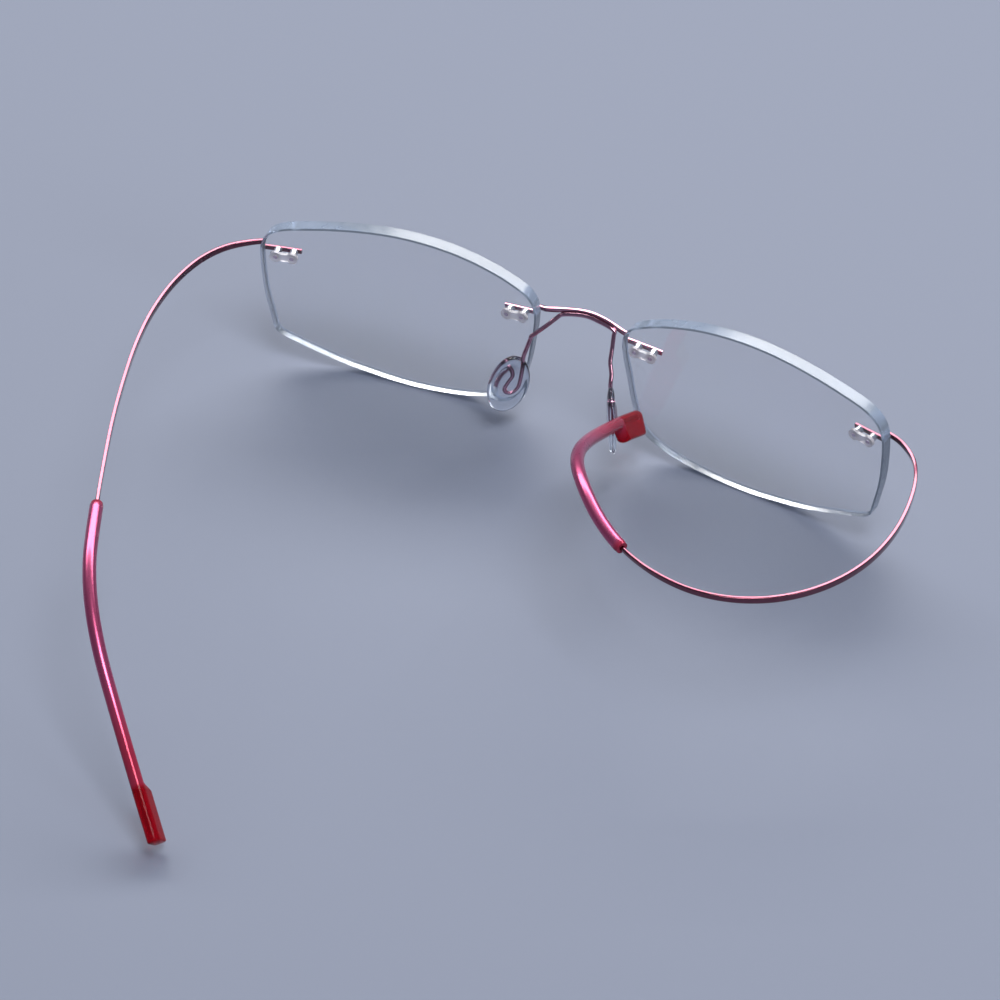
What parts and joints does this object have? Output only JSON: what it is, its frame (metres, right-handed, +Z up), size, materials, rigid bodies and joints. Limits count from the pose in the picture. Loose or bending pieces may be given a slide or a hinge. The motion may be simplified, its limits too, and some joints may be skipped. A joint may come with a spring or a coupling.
{
  "type": "rimless eyeglasses",
  "caption": "Rimless eyeglasses with clip-mounted lenses, a flat wire bridge, clear nose pads and springy wire temples in soft sleeves, one temple wound in behind its lens.",
  "frame": {"origin": "saddle of the bridge: on the plane mid-way between the lenses, at their boxed mid height, at the depth of the lens backs", "axes": "+X to the wearer's left, +Y back along the temples, +Z up"},
  "size_m": [0.1432, 0.1291, 0.0337],
  "materials": {
    "lens": "polished, anti-reflection coated",
    "bushing": "clear moulded polycarbonate",
    "peg": "bright",
    "nose_pad": "clear silicone",
    "wire": "rose metallic plating, polished",
    "sleeve": "translucent crimson silicone, glossy"
  },
  "bodies": {
    "front": {"left_lens": "lens", "right_lens": "lens", "left_temple_bushing": "bushing", "right_temple_bushing": "bushing", "left_bridge_bushing": "bushing", "right_bridge_bushing": "bushing", "left_temple_pegs": "peg", "right_temple_pegs": "peg", "left_bridge_pegs": "peg", "right_bridge_pegs": "peg", "bridge": "wire", "nose_pad_wire": "wire", "left_temple_root": "wire", "right_temple_root": "wire"},
    "left_nose_pad": {"left_nose_pad": "nose_pad"},
    "right_nose_pad": {"right_nose_pad": "nose_pad"},
    "left_temple_1": {"left_temple_wire_1": "wire"},
    "left_temple_2": {"left_temple_wire_2": "wire"},
    "left_temple_3": {"left_temple_wire_3": "wire", "left_sleeve_front": "sleeve"},
    "left_temple_4": {"left_core_middle": "wire", "left_sleeve_middle": "sleeve"},
    "left_temple_5": {"left_core_end": "wire", "left_sleeve_end": "sleeve"},
    "right_temple_1": {"right_temple_wire_1": "wire"},
    "right_temple_2": {"right_temple_wire_2": "wire"},
    "right_temple_3": {"right_temple_wire_3": "wire", "right_sleeve_front": "sleeve"},
    "right_temple_4": {"right_core_middle": "wire", "right_sleeve_middle": "sleeve"},
    "right_temple_5": {"right_core_end": "wire", "right_sleeve_end": "sleeve"}
  },
  "joints": [
    {"name": "left_nose_pad_rock", "type": "hinge", "parent": "front", "child": "left_nose_pad", "pos_m": [0.0119, 0.0064, -0.0057], "axis": [-0.1385, -0.0495, 0.9891], "range_deg": [-6, 6], "stiffness_Nm_per_rad": 0.004},
    {"name": "right_nose_pad_rock", "type": "hinge", "parent": "front", "child": "right_nose_pad", "pos_m": [-0.0085, 0.0066, -0.0065], "axis": [0.0595, -0.1092, 0.9922], "range_deg": [-6, 6], "stiffness_Nm_per_rad": 0.004},
    {"name": "left_temple_flex_1", "type": "hinge", "parent": "front", "child": "left_temple_1", "pos_m": [0.06909, 0.0368, 0.00855], "axis": [0, 0, 1], "range_deg": [-4, 18], "stiffness_Nm_per_rad": 0.13, "deforming": ["left_temple_wire_1"]},
    {"name": "left_temple_flex_2", "type": "hinge", "parent": "left_temple_1", "child": "left_temple_2", "pos_m": [0.06438, 0.05312, 0.00884], "axis": [0, 0, 1], "range_deg": [-4, 18], "stiffness_Nm_per_rad": 0.13, "deforming": ["left_temple_wire_2"]},
    {"name": "left_temple_flex_3", "type": "hinge", "parent": "left_temple_2", "child": "left_temple_3", "pos_m": [0.05843, 0.06904, 0.00923], "axis": [0, 0, 1], "range_deg": [-4, 18], "stiffness_Nm_per_rad": 0.13, "deforming": ["left_temple_wire_3", "left_sleeve_front"]},
    {"name": "left_temple_flex_4", "type": "hinge", "parent": "left_temple_3", "child": "left_temple_4", "pos_m": [0.04936, 0.09015, 0.01001], "axis": [0, 0, 1], "range_deg": [-4, 18], "stiffness_Nm_per_rad": 0.13, "deforming": ["left_core_middle", "left_sleeve_middle"]},
    {"name": "left_temple_flex_5", "type": "hinge", "parent": "left_temple_4", "child": "left_temple_5", "pos_m": [0.04059, 0.10369, 0.00511], "axis": [0, 0, 1], "range_deg": [-4, 18], "stiffness_Nm_per_rad": 0.13},
    {"name": "right_temple_flex_1", "type": "hinge", "parent": "front", "child": "right_temple_1", "pos_m": [-0.07049, 0.0364, 0.01], "axis": [0, 0, 1], "range_deg": [0, 28], "deforming": ["right_temple_wire_1"]},
    {"name": "right_temple_flex_2", "type": "hinge", "parent": "right_temple_1", "child": "right_temple_2", "pos_m": [-0.06183, 0.05069, 0.01135], "axis": [0, 0, 1], "range_deg": [0, 28], "deforming": ["right_temple_wire_2"]},
    {"name": "right_temple_flex_3", "type": "hinge", "parent": "right_temple_2", "child": "right_temple_3", "pos_m": [-0.04641, 0.05673, 0.0127], "axis": [0, 0, 1], "range_deg": [0, 28], "deforming": ["right_temple_wire_3", "right_sleeve_front"]},
    {"name": "right_temple_flex_4", "type": "hinge", "parent": "right_temple_3", "child": "right_temple_4", "pos_m": [-0.02579, 0.04777, 0.0138], "axis": [0, 0, 1], "range_deg": [0, 28], "deforming": ["right_core_middle", "right_sleeve_middle"]},
    {"name": "right_temple_flex_5", "type": "hinge", "parent": "right_temple_4", "child": "right_temple_5", "pos_m": [-0.01576, 0.0346, 0.01192], "axis": [0, 0, 1], "range_deg": [0, 28]}
  ],
  "couplings": [
    {"joint": "left_temple_flex_2", "follows": "left_temple_flex_1", "ratio": 1},
    {"joint": "left_temple_flex_3", "follows": "left_temple_flex_1", "ratio": 1},
    {"joint": "left_temple_flex_4", "follows": "left_temple_flex_1", "ratio": 1},
    {"joint": "left_temple_flex_5", "follows": "left_temple_flex_1", "ratio": 1},
    {"joint": "right_temple_flex_2", "follows": "right_temple_flex_1", "ratio": 1},
    {"joint": "right_temple_flex_3", "follows": "right_temple_flex_1", "ratio": 1},
    {"joint": "right_temple_flex_4", "follows": "right_temple_flex_1", "ratio": 1},
    {"joint": "right_temple_flex_5", "follows": "right_temple_flex_1", "ratio": 1}
  ]
}
